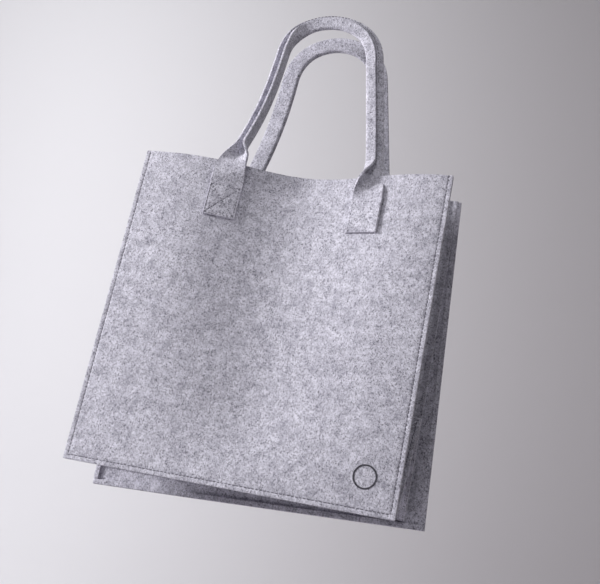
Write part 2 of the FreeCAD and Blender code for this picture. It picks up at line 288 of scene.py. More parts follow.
@dataclass(frozen=True)
class NeedleFelt:
    """Needle-punched polyester felt in heather grey.

    The cut fibres lie in every direction, so the eye gets a matte, soft-edged
    surface with cloudy patches, pale ground fibres and short dark flecks.
    """

    name: str = "needle_felt_heather_grey"
    pale: str = "#dcdae6"
    mid: str = "#9e9ca9"
    dark: str = "#4a4854"
    cloud_mm: float = 11.0
    fleck_mm: float = 2.6
    fleck_weight: float = 1.35
    ground_range: tuple[float, float] = (0.92, 1.42)
    fibre_mm: float = 1.1
    fibre_stretch: float = 3.2
    fibre_range: tuple[float, float] = (0.57, 0.70)
    fibre_turns: tuple[tuple[float, float, float], ...] = (
        (0.2, 0.35, 0.3), (-0.3, 1.15, 0.5), (0.4, 1.95, -0.4), (-0.2, 2.75, 0.6))
    dark_cover: float = 0.74
    dark_seeds: tuple[float, float] = (3.0, 2.7)
    pale_cover: float = 0.7
    pale_seeds: tuple[float, float] = (21.0, 3.1)
    pale_layers: int = 2
    pale_size: float = 0.8
    grain_mm: float = 0.7
    soft_mm: float = 3.6
    soft_weight: float = 0.8
    relief_mm: float = 0.35

    def fibres(self, tree: bpy.types.NodeTree, place: bpy.types.NodeSocket, turn: tuple, size: float,
               seed: float) -> bpy.types.NodeSocket:
        """Noise drawn out along one direction, as fibres lie in the felt.

        Args:
            tree: the material's node tree.
            place: coordinates in metres.
            turn: rotation of the fibres in radians.
            size: width of a fibre bundle in millimetres.
            seed: fourth coordinate of the noise.

        Returns:
            The noise value's socket.
        """
        mapped = add_node(tree, "ShaderNodeMapping", {"vector_type": "TEXTURE"}, {
            "Vector": place,
            "Rotation": turn,
            "Scale": (size * MM * self.fibre_stretch, size * MM, size * MM),
        })
        fleck = add_node(tree, "ShaderNodeTexNoise", {"noise_dimensions": "4D"}, {
            "Vector": mapped.outputs["Vector"], "W": seed, "Scale": 1.0, "Detail": 1.5, "Roughness": 0.55,
        })
        return fleck.outputs[0]

    def material(self) -> bpy.types.Material:
        """Returns the felt's material."""
        made, tree, place = blank_material(self.name)
        colour = self.mottled_ground(tree, place)
        first, step = self.dark_seeds
        for layer, turn in enumerate(self.fibre_turns):
            fleck = self.fibres(tree, place, turn, self.fibre_mm, first + step * layer)
            dark = add_ramp(fleck, self.fibre_range, self.dark_cover, "SMOOTHSTEP")
            colour = blended(dark, colour, linear(self.dark))
        first, step = self.pale_seeds
        for layer, turn in enumerate(self.fibre_turns[: self.pale_layers]):
            size = self.fibre_mm * self.pale_size
            fleck = self.fibres(tree, place, turn[::-1], size, first + step * layer)
            pale = add_ramp(fleck, self.fibre_range, self.pale_cover, "SMOOTHSTEP")
            colour = blended(pale, colour, linear(self.pale))
        shader = add_node(tree, "ShaderNodeBsdfPrincipled", {}, {
            "Base Color": colour,
            "Roughness": 0.94,
            "Specular IOR Level": 0.22,
            "Sheen Weight": 0.32,
            "Sheen Roughness": 0.55,
            "Normal": self.relief(tree, place),
        })
        return surfaced(made, shader)

    def mottled_ground(self, tree: bpy.types.NodeTree, place: bpy.types.NodeSocket) -> bpy.types.NodeSocket:
        """Returns the cloudy ground colour that the flecks lie on."""
        cloud = add_noise(place, self.cloud_mm, 3.0, 0.62)
        fleck = add_noise(place, self.fleck_mm, 4.0, 0.7)
        both = add_node(tree, "ShaderNodeMath", {"operation": "MULTIPLY_ADD"}, {
            0: fleck, 1: self.fleck_weight, 2: cloud,
        })
        return blended(add_ramp(both.outputs[0], self.ground_range), linear(self.mid), linear(self.pale))

    def relief(self, tree: bpy.types.NodeTree, place: bpy.types.NodeSocket) -> bpy.types.NodeSocket:
        """Returns the normal of the fibrous surface; its grain is drawn coarser than single fibres."""
        grain = add_noise(place, self.grain_mm, 3.0, 0.65)
        soft = add_noise(place, self.soft_mm, 2.0, 0.5)
        height = add_node(tree, "ShaderNodeMath", {"operation": "MULTIPLY_ADD"}, {
            0: soft, 1: self.soft_weight, 2: grain,
        })
        bump = add_node(tree, "ShaderNodeBump", {}, {
            "Strength": 0.55, "Distance": self.relief_mm * MM, "Height": height.outputs[0],
        })
        return bump.outputs["Normal"]


@dataclass(frozen=True)
class SpunThread:
    """Spun polyester sewing thread, slightly darker than the felt, with a twist that shows as fine ribs.
    Its grey is the thread's own colour, darkened further as painted shade of the sunken stitch holes; the
    darker colour of the twist is painted shade in the grooves between the plies.
    """

    name: str = "spun_polyester_thread"
    # Thread grey, darkened past the thread's own colour as painted shade of the sunken stitches.
    colour: str = "#6c6a76"
    # Painted shade in the grooves of the twist.
    shade: str = "#474550"
    twist_mm: float = 0.5

    def material(self) -> bpy.types.Material:
        """Returns the thread's material."""
        made, tree, place = blank_material(self.name)
        ply = add_node(tree, "ShaderNodeTexWave", {"bands_direction": "DIAGONAL"}, {
            "Vector": place, "Scale": 1.0 / (self.twist_mm * MM * 6.0), "Distortion": 1.5,
        })
        bump = add_node(tree, "ShaderNodeBump", {}, {
            "Strength": 0.4, "Distance": 0.15 * MM, "Height": ply.outputs["Fac"],
        })
        shader = add_node(tree, "ShaderNodeBsdfPrincipled", {}, {
            # The darker colour follows the twist's bump down into its grooves: painted shade.
            "Base Color": blended(ply.outputs["Fac"], linear(self.shade), linear(self.colour)),
            "Roughness": 0.6,
            "Sheen Weight": 0.15,
            "Normal": bump.outputs["Normal"],
        })
        return surfaced(made, shader)


@dataclass(frozen=True)
class ScreenPrint:
    """Dark screen print that sinks into the felt, so that pale fibres show through it in specks."""

    name: str = "screen_print_charcoal"
    ink: str = "#35333b"
    fibre: str = "#6d6b77"
    speck_mm: float = 1.0
    speck_range: tuple[float, float] = (0.48, 0.72)

    def material(self) -> bpy.types.Material:
        """Returns the print's material."""
        made, tree, place = blank_material(self.name)
        speck = add_noise(place, self.speck_mm, 3.0, 0.7)
        colour = blended(add_ramp(speck, self.speck_range), linear(self.ink), linear(self.fibre))
        bump = add_node(tree, "ShaderNodeBump", {}, {
            "Strength": 0.5, "Distance": 0.2 * MM, "Height": speck,
        })
        shader = add_node(tree, "ShaderNodeBsdfPrincipled", {}, {
            "Base Color": colour, "Roughness": 0.85, "Normal": bump.outputs["Normal"],
        })
        return surfaced(made, shader)


# ------------------------------------------------------------- mesh making


def select_only(*pieces: bpy.types.Object) -> None:
    """Deselects everything, then selects the given pieces; the first one is active."""
    bpy.ops.object.select_all(action="DESELECT")
    for piece in pieces:
        piece.select_set(True)
    bpy.context.view_layer.objects.active = pieces[0] if pieces else None


def finish_modifiers(piece: bpy.types.Object) -> None:
    """Applies every modifier of a piece in order."""
    select_only(piece)
    for modifier in list(piece.modifiers):
        bpy.ops.object.modifier_apply(modifier=modifier.name)


@dataclass(frozen=True)
class Cloth:
    """Felt of one thickness, cut as a grid, thickened and rounded a little at its raw edges."""

    felt: bpy.types.Material
    thickness: float
    edge_round: float = 0.45 * MM
    smooth_below: float = math.radians(50.0)

    def cut(self, name: str, across: list[float], along: list[float], place: PlacePoint,
            outwards: int) -> bpy.types.Object:
        """Makes one piece of felt.

        Args:
            name: the piece's name.
            across: marks of the grid's columns.
            along: marks of the grid's rows.
            place: turns a column mark and a row mark into a point.
            outwards: 1 to thicken along the grid's normals, -1 to thicken against them.

        Returns:
            The piece.
        """
        select_only()
        bpy.ops.mesh.primitive_grid_add(x_subdivisions=len(across) - 1, y_subdivisions=len(along) - 1)
        piece = bpy.context.object
        piece.name = name
        piece.data.name = name
        for index, vertex in enumerate(piece.data.vertices):
            vertex.co = place(across[index % len(across)], along[index // len(across)])
        wall = piece.modifiers.new("Felt", "SOLIDIFY")
        wall.thickness = self.thickness
        wall.offset = float(outwards)
        wall.use_quality_normals = True
        rim = piece.modifiers.new("Edge", "BEVEL")
        rim.width = self.edge_round
        rim.segments = 2
        rim.limit_method = "ANGLE"
        rim.angle_limit = self.smooth_below
        finish_modifiers(piece)
        bpy.ops.object.shade_smooth_by_angle(angle=self.smooth_below)
        piece.data.materials.append(self.felt)
        log.info("felt piece %s", name)
        return piece


@dataclass(frozen=True)
class Stitching:
    """Rows of lockstitch; each stitch is a small capsule that lies half sunk in the felt."""

    thread: bpy.types.Material
    pitch: float = 4.4 * MM
    length: float = 3.5 * MM
    width: float = 1.0 * MM
    height: float = 0.75 * MM
    bluntness: float = 0.7
    droop: float = 0.25

    def model_stitch(self) -> tuple[list[Vector], list[tuple[int, ...]]]:
        """Models one stitch along X, with its upper side towards +Z.

        Returns:
            Its points and its faces.
        """
        select_only()
        bpy.ops.mesh.primitive_uv_sphere_add(segments=8, ring_count=6, radius=0.5,
                                             rotation=(0, math.pi / 2, 0))
        stitch = bpy.context.object
        bpy.ops.object.transform_apply(rotation=True)
        for vertex in stitch.data.vertices:
            blunt = math.copysign(abs(2 * vertex.co.x) ** self.bluntness / 2, vertex.co.x)
            droop = self.droop * (2 * vertex.co.x) ** 2
            vertex.co = Vector((blunt * self.length, vertex.co.y * self.width,
                                (vertex.co.z - droop) * self.height))
        points = [vertex.co.copy() for vertex in stitch.data.vertices]
        faces = [tuple(face.vertices) for face in stitch.data.polygons]
        bpy.data.objects.remove(stitch)
        return points, faces

    def sew(self, name: str, rows: list[list[tuple[Vector, Vector]]]) -> bpy.types.Object:
        """Lays stitches along rows.

        Args:
            name: the piece's name.
            rows: each row is a list of (point, normal of the felt there).

        Returns:
            All stitches as one piece.
        """
        stitch, shape = self.model_stitch()
        points: list[Vector] = []
        faces: list[tuple[int, ...]] = []
        for row in rows:
            for place, along, normal in self.spaced(row):
                side = normal.cross(along).normalized()
                up = along.cross(side).normalized()
                turn = Matrix((along, side, up)).transposed()
                start = len(points)
                points += [place + turn @ point for point in stitch]
                faces += [tuple(start + corner for corner in face) for face in shape]
        mesh = bpy.data.meshes.new(name)
        mesh.from_pydata(points, [], faces)
        piece = bpy.data.objects.new(name, mesh)
        bpy.context.scene.collection.objects.link(piece)
        select_only(piece)
        bpy.ops.object.shade_smooth()
        mesh.materials.append(self.thread)
        log.info("stitches %s", name)
        return piece

    def spaced(self, row: list[tuple[Vector, Vector]]) -> list[tuple[Vector, Vector, Vector]]:
        """Divides a row into stitches.

        Args:
            row: points with their normals.

        Returns:
            Middle, direction and normal of each stitch.
        """
        places = []
        travelled = self.pitch / 2
        for (start, normal), (end, _) in zip(row, row[1:]):
            run = end - start
            along = run.normalized()
            while travelled < run.length:
                places.append((start + along * travelled, along, normal))
                travelled += self.pitch
            travelled -= run.length
        return places


# ------------------------------------------------------------------ panels


@dataclass(frozen=True)
class Panel:
    """Front or back panel: a stiff sheet whose top bows between the stiffer side seams."""

    face: Face
    size: Measures
    cloth: Cloth
    stitching: Stitching
    bow: float
    bow_middle: float = 16.0 * MM
    bow_reach: float = 166.0 * MM
    bow_rise: float = 1.3
    hollow_share: float = 0.56
    hollow_width: float = 52.0 * MM
    hollow_foot: float = 110.0 * MM
    ripple: float = 1.4 * MM
    sag: float = 4.0 * MM
    stitch_inset: float = 5.0 * MM
    stitch_sink: float = 0.28 * MM
    groove: float = 0.55 * MM
    groove_width: float = 1.1 * MM
    grid_step: float = 6.0 * MM
    grid_edge: tuple[float, ...] = tuple(d * MM for d in (1.5, 3.0, 4.2, 5.0, 5.8, 7.0, 9.0, 12.0))

    @property
    def name(self) -> str:
        """Returns the piece's name."""
        return f"{self.face.word}_panel_felt"

    def dent(self, x: float, z: float) -> float:
        """Returns how far the panel bows towards the back at a place."""
        rise = max(z, 0.0) / self.size.height
        ripple = noise.noise(Vector((x * 14.0, z * 10.0, 5.0 * self.face.value))) * self.ripple
        free = smooth(z, 0.0, 60 * MM) * smooth(self.size.half_width - abs(x), 8 * MM, 60 * MM)
        hollow = math.exp(-(((x - self.bow_middle) / self.hollow_width) ** 2) / 2)
        hollow *= self.bow * self.hollow_share * smooth(z, 0.0, self.hollow_foot) * (1 - 0.5 * rise)
        return self.bow * self.bowed(x) * rise**self.bow_rise + hollow + ripple * free

    def bowed(self, x: float) -> float:
        """Returns the share of the bow at a place across the panel, 1 at its middle."""
        across = min(abs(x - self.bow_middle) / self.bow_reach, 1.0)
        return math.cos(across * math.pi / 2) ** 2

    def seam_distance(self, x: float, z: float) -> float:
        """Returns the distance from the row of stitches round the panel."""
        sides = abs(self.size.half_width - abs(x) - self.stitch_inset)
        low = abs(z - self.stitch_inset)
        inside = self.size.half_width - abs(x) > self.stitch_inset
        return min(sides if z > self.stitch_inset else 1.0, low if inside else 1.0)

    def point(self, x: float, z: float, lift: float = 0.0) -> Vector:
        """Place on the panel.

        Args:
            x: across the panel.
            z: up the panel.
            lift: distance out of the panel's inner face.

        Returns:
            The point.
        """
        depth = self.size.inner_y + lift
        if lift == 0:
            depth -= self.groove * math.exp(-((self.seam_distance(x, z) / self.groove_width) ** 2))
        drop = self.sag * self.bowed(x) * (max(z, 0.0) / self.size.height) ** 3
        place = Vector((x, self.face.value * depth + self.dent(x, z), z - drop))
        return place + self.size.drift(x, z) if self.face is Face.BACK else place

    def outside(self, x: float, z: float, lift: float = 0.0) -> Vector:
        """Returns the point on the panel's outer face, or lift above it."""
        return self.point(x, z, self.size.felt + lift)

    def build(self) -> bpy.types.Object:
        """Cuts the panel and lets it ride on its body."""
        across = marks(-self.size.half_width, self.size.half_width, self.grid_step, self.grid_edge)
        along = marks(0.0, self.size.height, self.grid_step, self.grid_edge)
        flip = self.face.value

        def place(x: float, z: float) -> Vector:
            """Returns the grid's point; the back panel's grid runs the other way round."""
            return self.point(-flip * x, z)

        panel = self.cloth.cut(self.name, across, along, place, 1)
        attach(panel, self.face.word)
        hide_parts(f"{self.face.word}_panel")
        return panel

    def sew(self) -> bpy.types.Object:
        """Sews the row down one side, along the bottom and up the other side."""
        edge = self.size.half_width - self.stitch_inset
        top = self.size.height - 1.5 * MM
        step = 2 * self.grid_step
        out = Vector((0, self.face.value, 0))
        path = [(-edge, z) for z in reversed(marks(self.stitch_inset, top, step))]
        path += [(x, self.stitch_inset) for x in marks(-edge, edge, step)]
        path += [(edge, z) for z in marks(self.stitch_inset, top, step)]
        row = [(self.outside(x, z, -self.stitch_sink), out) for x, z in path]
        stitches = self.stitching.sew(f"{self.face.word}_seam_stitches", [row])
        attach(stitches, self.face.word)
        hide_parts(f"{self.face.word}_seam_thread")
        return stitches


# ----------------------------------------------------- gussets and corners


@dataclass(frozen=True)
class GussetHalf:
    """Half of a side gusset, from its raw edge behind a panel to the crease in the middle."""

    side: Side
    face: Face
    size: Measures
    cloth: Cloth
    fold_radius: float = 0.4 * MM
    corner_gap: float = 0.5 * MM
    wave: float = 2.2 * MM
    blend_outside: float = 2.5 * MM
    blend_inside: float = 9.0 * MM

    @property
    def name(self) -> str:
        """Returns the piece's name."""
        return f"{self.side.word}_gusset_{self.face.word}_felt"

    @property
    def body(self) -> str:
        """Returns the body that the half rides on."""
        return f"{self.side.word}_{self.face.word}_gusset"

    @property
    def start(self) -> Vector:
        """Returns the foot of the seam."""
        return Vector((self.side.value * self.size.seam.x, self.face.value * -self.size.seam.y,
                       self.size.allowance))

    @property
    def inward(self) -> Vector:
        """Returns the direction from the seam to the crease."""
        crease = Vector((self.side.value * self.size.crease_x, 0, self.size.allowance))
        return (crease - self.start).normalized()

    @property
    def notch(self) -> float:
        """Returns the angle between the half and the plane midway between the panels."""
        return math.asin(abs(self.inward.y))

    def crease_point(self, past: float, z: float) -> Vector:
        """Place on the rounded crease.

        Args:
            past: distance along the arc from where the flat half ends.
            z: height.

        Returns:
            The point.
        """
        reach = self.fold_radius / math.sin(self.notch)
        centre = Vector((self.side.value * (self.size.crease_x + reach), 0, z))
        turned = past / self.fold_radius
        angle = math.pi / 2 - self.notch - turned
        return centre + self.fold_radius * Vector((-self.side.value * math.cos(angle),
                                                   self.face.value * math.sin(angle), 0))

    @property
    def allowance_columns(self) -> list[float]:
        """Returns the grid's columns from the raw edge to the seam."""
        return [-self.size.allowance, -4.5 * MM, -3.0 * MM, -1.5 * MM, 0.0]

    def flat_length(self) -> float:
        """Returns the length of the half before its rounded crease begins."""
        return self.size.half_gusset - self.fold_radius / math.tan(self.notch)

    def point(self, along: float, z: float) -> Vector:
        """Place on the outer face of the gusset.

        Args:
            along: distance from the seam towards the crease, negative on the allowance.
            z: height.

        Returns:
            The point.
        """
        flange = Vector((self.side.value * (self.size.seam.x - along),
                         self.face.value * (self.size.inner_y - self.size.felt), z))
        if along <= 0:
            return flange
        if along > self.flat_length():
            return self.crease_point(along - self.flat_length(), z)
        wave = noise.noise(Vector((along * 18.0, z * 9.0, 3.0 * self.side.value + self.face.value)))
        free = smooth(along, 6 * MM, 40 * MM) * smooth(self.size.half_gusset - along, 4 * MM, 30 * MM)
        near = self.start + self.inward * along
        near.z = z
        near.x += self.side.value * abs(self.inward.y) * self.wave * wave * free
        return flange.lerp(near, smooth(along, 0.0, 3.0 * MM))

    def hanging(self, along: float, z: float) -> Vector:
        """Place on the gusset as it hangs; its back edge follows the tilt of the back panel's rim.

        Args:
            along: distance from the seam towards the crease, negative on the allowance.
            z: height.

        Returns:
            The point.
        """
        place = self.point(along, z)
        if self.face is Face.BACK:
            near = min(max(1 - along / self.flat_length(), 0.0), 1.0)
            free = smooth(z, self.size.half_gusset, self.size.height)
            place.z += self.size.drift(place.x, z).z * near * free
        return place

    def build(self) -> bpy.types.Object:
        """Cuts the half; the half with the open seam rides on its own body, and the others are baked in
        place.
        """
        arc = self.fold_radius * (math.pi / 2 - self.notch)
        seam_is_open = (self.side, self.face) == (Side.LEFT, Face.BACK)
        columns = [0.2 * MM] if seam_is_open else self.allowance_columns
        columns += [d * MM for d in (1.0, 2.0, 3.0, 4.5, 6.5, 9.0, 12.0)]
        columns += marks(18 * MM, self.flat_length(), 7 * MM)
        columns += [self.flat_length() + arc * (i + 1) / 7 for i in range(7)]
        rows = marks(0.0, 1.0, 0.022)

        def place(along: float, share: float) -> Vector:
            """Returns a point of the half, whose lower edge rises along the folded corner."""
            reach = min(max(along, 0.0), self.size.half_gusset)
            low = self.size.allowance + reach + self.corner_gap
            return self.hanging(along, mix(low, self.size.height, share))

        outwards = self.side.value * self.face.value
        half = self.cloth.cut(self.name, columns, rows, place, outwards)
        nodes = [f"{self.side.word}_gusset_{self.face.word}_half"]
        if seam_is_open:
            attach(half, self.body)
        else:
            seam = self.start
            first, second = self.face.word, self.body
            inner = seam + self.inward * self.blend_inside
            if self.face is Face.BACK:
                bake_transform(half)
            else:
                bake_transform(half)
            nodes.append(f"{self.side.word}_{self.face.word}_allowance")
        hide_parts(*nodes)
        return half

    def allowance_strip(self) -> bpy.types.Object:
        """Cuts the strip of the left gusset that is sewn behind the back panel."""
        rows = marks(self.size.allowance + 0.4 * MM, self.size.height, 9 * MM)
        outwards = self.side.value * self.face.value

        def place(along: float, z: float) -> Vector:
            """Returns a point of the strip, which hangs with the back panel."""
            point = self.point(along, z)
            return point + self.size.drift(point.x, z)

        strip = self.cloth.cut(f"{self.side.word}_{self.face.word}_allowance_felt",
                               self.allowance_columns, rows, place, outwards)
        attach(strip, self.face.word)
        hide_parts(f"{self.side.word}_{self.face.word}_allowance")
        return strip


@dataclass(frozen=True)
class Corner:
    """Lower corner of a gusset half, folded back about the diagonal and sewn to the bottom's end."""

    half: GussetHalf
    stitching: Stitching
    fold: float = math.radians(157.0)
    start_at: float = 3.0 * MM
    bulge: float = 2.0 * MM
    rows: int = 24
    stitch_drop: float = 2.0 * MM

    @property
    def name(self) -> str:
        """Returns the piece's name."""
        return f"{self.half.side.word}_{self.half.face.word}_corner"

    def point(self, along: float, up: float) -> Vector:
        """Place on the outer face of the corner.

        Args:
            along: distance from the seam in the felt.
            up: distance above the end seam in the felt.

        Returns:
            The point after the fold.
        """
        size = self.half.size
        inward = self.half.inward
        diagonal = (inward + Vector((0, 0, 1))).normalized()
        sense = self.half.side.value * self.half.face.value
        turn = Matrix.Rotation(sense * self.fold, 3, diagonal)
        flat = inward * along + Vector((0, 0, up))
        point = self.half.start + turn @ flat
        bulge = self.bulge * math.sin(math.pi * min(max(up / size.half_gusset, 0.0), 1.0))
        point.y -= self.half.face.value * bulge
        return point

    def build(self) -> bpy.types.Object:
        """Cuts the corner and lets it ride on its body."""
        size = self.half.size
        columns = marks(self.start_at, size.half_gusset - 2.0 * MM, 5 * MM)
        rows = [i / self.rows for i in range(self.rows + 1)]

        def place(along: float, share: float) -> Vector:
            """Returns a point between the raw edge and the diagonal."""
            return self.point(along, mix(-size.allowance, along - 0.3 * MM, share))

        outwards = self.half.side.value * self.half.face.value
        corner = self.half.cloth.cut(f"{self.name}_felt", columns, rows, place, outwards)
        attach(corner, self.name)
        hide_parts(self.name)
        return corner

    def sew(self) -> bpy.types.Object:
        """Sews the end seam on the corner's outer face."""
        size = self.half.size
        stations = marks(self.start_at + 4 * MM, size.half_gusset - 6 * MM, 10 * MM)
        across = self.point(60 * MM, 10 * MM) - self.point(60 * MM, 0.0)
        run = self.point(70 * MM, 0.0) - self.point(60 * MM, 0.0)
        normal = across.cross(run).normalized()
        if normal.y * self.half.face.value < 0:
            normal.negate()
        row = [(self.point(along, -self.stitch_drop) + normal * 0.1 * MM, normal) for along in stations]
        stitches = self.stitching.sew(f"{self.name}_stitches", [row])
        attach(stitches, self.name)
        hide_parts(f"{self.name}_thread")
        return stitches


# ------------------------------------------------------------------ bottom


@dataclass(frozen=True)
class BottomHalf:
    """Half of the bottom, from its raw edge behind a panel up to the ridge between the panels."""

    face: Face
    size: Measures
    cloth: Cloth
    corner: Corner
    fold_radius: float = 0.4 * MM
    end_gap: float = 0.7 * MM
    wave: float = 1.2 * MM

    @property
    def foot_y(self) -> float:
        """Returns the distance of the bottom's outer face from the middle at its raw edge."""
        return self.size.inner_y - self.size.felt

    @property
    def slope(self) -> float:
        """Returns the angle between a half and the upright at the ridge."""
        return math.atan2(self.foot_y, self.size.ridge_z - self.size.allowance)

    def profile(self, up: float) -> tuple[float, float]:
        """Place on the outer face, in the upright plane across the bag.

        Args:
            up: 0 at the raw edge, 1 at the seam, 2 where the ridge begins and 3 at its top.

        Returns:
            Distance from the middle, and height.
        """
        reach = self.fold_radius / math.sin(self.slope)
        centre = self.size.ridge_z - reach
        turn = math.pi / 2 - self.slope
        top_y = self.fold_radius * math.cos(self.slope)
        top_z = centre + self.fold_radius * math.sin(self.slope)
        if up <= 1:
            return self.foot_y, up * self.size.allowance
        if up <= 2:
            return mix(self.foot_y, top_y, up - 1), mix(self.size.allowance, top_z, up - 1)
        angle = self.slope + turn * (up - 2)
        return self.fold_radius * math.cos(angle), centre + self.fold_radius * math.sin(angle)

    def point(self, x: float, up: float) -> Vector:
        """Place on the bottom's outer face.

        Args:
            x: across the bag.
            up: 0 at the raw edge, 1 at the seam, 2 where the ridge begins and 3 at its top.

        Returns:
            The point.
        """
        depth, z = self.profile(up)
        side = 1 if x > 0 else -1
        share = min(max((z - self.size.allowance) / self.size.half_gusset, 0.0), 1.0)
        sewn = abs(self.corner.point(share * self.size.half_gusset, 0.0).y) - 2 * self.size.felt
        pinch = smooth(side * x, 150 * MM, 186 * MM) * smooth(up, 1.0, 1.3) * (1 - smooth(up, 1.85, 2.0))
        depth = mix(depth, min(max(sewn, 0.0), depth), pinch)
        wave = noise.noise(Vector((x * 9.0, z * 16.0, 7.0 + self.face.value)))
        depth += self.wave * wave * smooth(up, 1.1, 1.4) * (1 - smooth(up, 1.6, 1.9))
        place = Vector((x, self.face.value * max(depth, 0.0), z))
        return place + self.size.drift(x, z) if self.face is Face.BACK and up <= 1 else place

    def build(self) -> list[bpy.types.Object]:
        """Cuts the half; the back one comes in two pieces, because its seam stays open."""
        end = self.size.half_width - self.end_gap
        flip = self.face.value
        across = marks(-end, end, 9 * MM, tuple(d * MM for d in (2.0, 5.0, 9.0, 14.0, 20.0, 28.0)))
        low_rows = [0.0, 0.3, 0.6, 0.8, 1.0]
        high_rows = [1.03, 1.06, 1.1] + marks(1.15, 2.0, 0.05) + [2 + (i + 1) / 6 for i in range(6)]

        def place(x: float, up: float) -> Vector:
            """Returns the grid's point; the back half's grid runs the other way round."""
            return self.point(-flip * x, up)

        word = self.face.word
        if self.face is Face.FRONT:
            half = self.cloth.cut("bottom_front_felt", across, low_rows + high_rows, place, 1)
            outer = Vector((0, -self.foot_y, self.size.allowance - 2 * MM))
            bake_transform(half)
            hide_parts("bottom_front_half", "bottom_front_allowance")
            return [half]
        strip = self.cloth.cut("bottom_back_allowance_felt", across, low_rows, place, 1)
        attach(strip, word)
        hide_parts("bottom_back_allowance")
        half = self.cloth.cut("bottom_back_felt", across, [1.005] + high_rows, place, 1)
        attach(half, "bottom_back")
        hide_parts("bottom_back_half")
        return [strip, half]


# ----------------------------------------------------------------- handles


@dataclass(frozen=True)
class Station:
    """One place along a strap: where it is, which way it leans and how far it is folded."""

    x: float
    z: float
    lean: float
    fold: float
    side: int


@dataclass(frozen=True)
class LengthwiseFold:
    """How a strap is folded along its length: the width that stays straight, and how far the rest turns."""

    straight: float
    turn: float

    def towards(self, other: "LengthwiseFold", share: float) -> "LengthwiseFold":
        """Returns the fold a share of the way from this one to another."""
        return LengthwiseFold(mix(self.straight, other.straight, share), mix(self.turn, other.turn, share))


